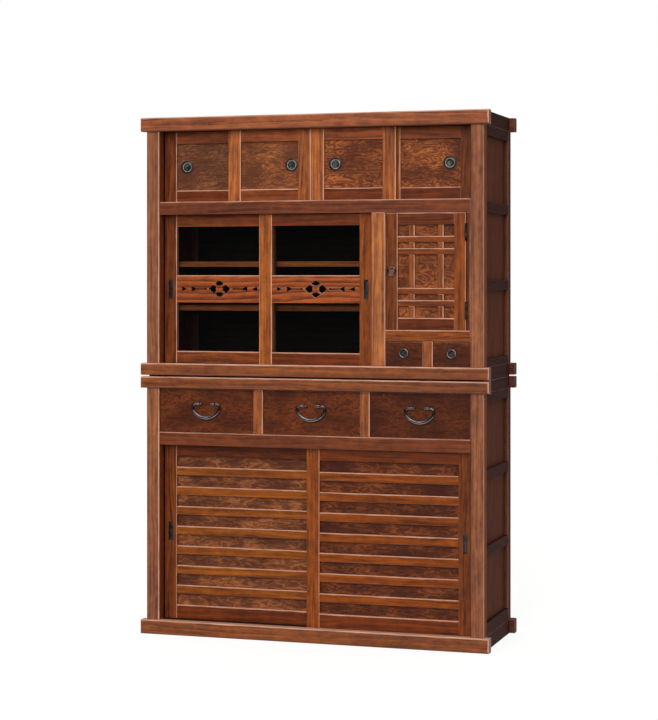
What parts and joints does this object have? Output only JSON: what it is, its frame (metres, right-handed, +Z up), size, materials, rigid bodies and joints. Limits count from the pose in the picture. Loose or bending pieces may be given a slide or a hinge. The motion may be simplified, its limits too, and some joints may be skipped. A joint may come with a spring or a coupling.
{
  "type": "mizuya kitchen cabinet",
  "caption": "Two-unit wooden kitchen cabinet with small sliding doors, glazed sliding doors, a hinged lattice door, drawers with iron bails and slatted sliding doors below.",
  "frame": {"origin": "on the floor, under the middle of the cabinet", "axes": "+X to the right of someone facing the cabinet, -Y out of its front, +Z up"},
  "size_m": [1.2, 0.45, 1.75],
  "materials": {
    "frame_wood": "satin lacquer over stained hardwood",
    "panel_wood": "satin lacquer over figured burl",
    "door_wood": "satin lacquer over stained hardwood",
    "drawer_wood": "satin lacquer over figured burl",
    "inner_wood": "thin brown stain",
    "black_iron": "blackened, worn bright on the edges",
    "glass": "clear"
  },
  "bodies": {
    "cabinet": {"base_rails": "frame_wood", "lower_top_rails": "frame_wood", "upper_sill_rails": "frame_wood", "crown_rails": "frame_wood", "side_rails": "frame_wood", "lower_posts": "frame_wood", "upper_posts": "frame_wood", "side_bars": "frame_wood", "mid_rail": "frame_wood", "drawer_rail": "frame_wood", "drawer_dividers": "frame_wood", "lattice_rail": "frame_wood", "bay_posts": "frame_wood", "side_panels": "panel_wood", "back_panels": "inner_wood", "top_boards": "inner_wood", "floor_boards": "inner_wood", "door_tracks": "inner_wood", "drawer_runners": "inner_wood", "inner_boards": "inner_wood", "bay_partitions": "inner_wood", "shelves": "inner_wood", "shelf_cleats": "inner_wood", "lattice_hinge_fixed_leaves": "black_iron"},
    "small_door_1": {"small_door_1": "door_wood", "small_door_1_pull": "black_iron"},
    "small_door_2": {"small_door_2": "door_wood", "small_door_2_pull": "black_iron"},
    "small_door_3": {"small_door_3": "door_wood", "small_door_3_pull": "black_iron"},
    "small_door_4": {"small_door_4": "door_wood", "small_door_4_pull": "black_iron"},
    "glass_door_left": {"glass_door_left": "door_wood", "glass_door_left_pane": "glass", "glass_door_left_pull": "black_iron"},
    "glass_door_right": {"glass_door_right": "door_wood", "glass_door_right_pane": "glass", "glass_door_right_pull": "black_iron"},
    "lower_door_left": {"lower_door_left": "door_wood", "lower_door_left_pull": "black_iron"},
    "lower_door_right": {"lower_door_right": "door_wood", "lower_door_right_pull": "black_iron"},
    "lattice_door": {"lattice_door": "door_wood", "lattice_door_fittings": "black_iron"},
    "lattice_door_ring": {"lattice_door_ring": "black_iron"},
    "small_drawer_1": {"small_drawer_1": "drawer_wood", "small_drawer_1_plate": "black_iron"},
    "small_drawer_1_ring": {"small_drawer_1_ring": "black_iron"},
    "small_drawer_2": {"small_drawer_2": "drawer_wood", "small_drawer_2_plate": "black_iron"},
    "small_drawer_2_ring": {"small_drawer_2_ring": "black_iron"},
    "large_drawer_1": {"large_drawer_1": "drawer_wood", "large_drawer_1_mounts": "black_iron"},
    "large_drawer_1_bail": {"large_drawer_1_bail": "black_iron"},
    "large_drawer_2": {"large_drawer_2": "drawer_wood", "large_drawer_2_mounts": "black_iron"},
    "large_drawer_2_bail": {"large_drawer_2_bail": "black_iron"},
    "large_drawer_3": {"large_drawer_3": "drawer_wood", "large_drawer_3_mounts": "black_iron"},
    "large_drawer_3_bail": {"large_drawer_3_bail": "black_iron"}
  },
  "joints": [
    {"name": "small_door_1_slide", "type": "slide", "parent": "cabinet", "child": "small_door_1", "axis": [1, 0, 0], "range_m": [0, 0.246]},
    {"name": "small_door_2_slide", "type": "slide", "parent": "cabinet", "child": "small_door_2", "axis": [1, 0, 0], "range_m": [-0.238, 0]},
    {"name": "small_door_3_slide", "type": "slide", "parent": "cabinet", "child": "small_door_3", "axis": [1, 0, 0], "range_m": [0, 0.252]},
    {"name": "small_door_4_slide", "type": "slide", "parent": "cabinet", "child": "small_door_4", "axis": [1, 0, 0], "range_m": [-0.246, 0]},
    {"name": "glass_door_left_slide", "type": "slide", "parent": "cabinet", "child": "glass_door_left", "axis": [1, 0, 0], "range_m": [0, 0.349]},
    {"name": "glass_door_right_slide", "type": "slide", "parent": "cabinet", "child": "glass_door_right", "axis": [1, 0, 0], "range_m": [-0.349, 0]},
    {"name": "lower_door_left_slide", "type": "slide", "parent": "cabinet", "child": "lower_door_left", "axis": [1, 0, 0], "range_m": [0, 0.515]},
    {"name": "lower_door_right_slide", "type": "slide", "parent": "cabinet", "child": "lower_door_right", "axis": [1, 0, 0], "range_m": [-0.515, 0]},
    {"name": "lattice_door_hinge", "type": "hinge", "parent": "cabinet", "child": "lattice_door", "pos_m": [0.522, -0.2095, 1.229], "axis": [0, 0, 1], "range_deg": [0, 110]},
    {"name": "lattice_door_ring_swing", "type": "hinge", "parent": "lattice_door", "child": "lattice_door_ring", "pos_m": [0.27425, -0.2119, 1.2424], "axis": [-1, 0, 0], "range_deg": [0, 150]},
    {"name": "small_drawer_1_slide", "type": "slide", "parent": "cabinet", "child": "small_drawer_1", "axis": [0, -1, 0], "range_m": [0, 0.29]},
    {"name": "small_drawer_1_ring_swing", "type": "hinge", "parent": "small_drawer_1", "child": "small_drawer_1_ring", "pos_m": [0.3155, -0.2114, 0.975], "axis": [-1, 0, 0], "range_deg": [0, 150]},
    {"name": "small_drawer_2_slide", "type": "slide", "parent": "cabinet", "child": "small_drawer_2", "axis": [0, -1, 0], "range_m": [0, 0.29]},
    {"name": "small_drawer_2_ring_swing", "type": "hinge", "parent": "small_drawer_2", "child": "small_drawer_2_ring", "pos_m": [0.4745, -0.2114, 0.975], "axis": [-1, 0, 0], "range_deg": [0, 150]},
    {"name": "large_drawer_1_slide", "type": "slide", "parent": "cabinet", "child": "large_drawer_1", "axis": [0, -1, 0], "range_m": [0, 0.29]},
    {"name": "large_drawer_1_bail_swing", "type": "hinge", "parent": "large_drawer_1", "child": "large_drawer_1_bail", "pos_m": [-0.36867, -0.2135, 0.783], "axis": [-1, 0, 0], "range_deg": [0, 150]},
    {"name": "large_drawer_2_slide", "type": "slide", "parent": "cabinet", "child": "large_drawer_2", "axis": [0, -1, 0], "range_m": [0, 0.29]},
    {"name": "large_drawer_2_bail_swing", "type": "hinge", "parent": "large_drawer_2", "child": "large_drawer_2_bail", "pos_m": [0, -0.2135, 0.783], "axis": [-1, 0, 0], "range_deg": [0, 150]},
    {"name": "large_drawer_3_slide", "type": "slide", "parent": "cabinet", "child": "large_drawer_3", "axis": [0, -1, 0], "range_m": [0, 0.29]},
    {"name": "large_drawer_3_bail_swing", "type": "hinge", "parent": "large_drawer_3", "child": "large_drawer_3_bail", "pos_m": [0.36867, -0.2135, 0.783], "axis": [-1, 0, 0], "range_deg": [0, 150]}
  ]
}
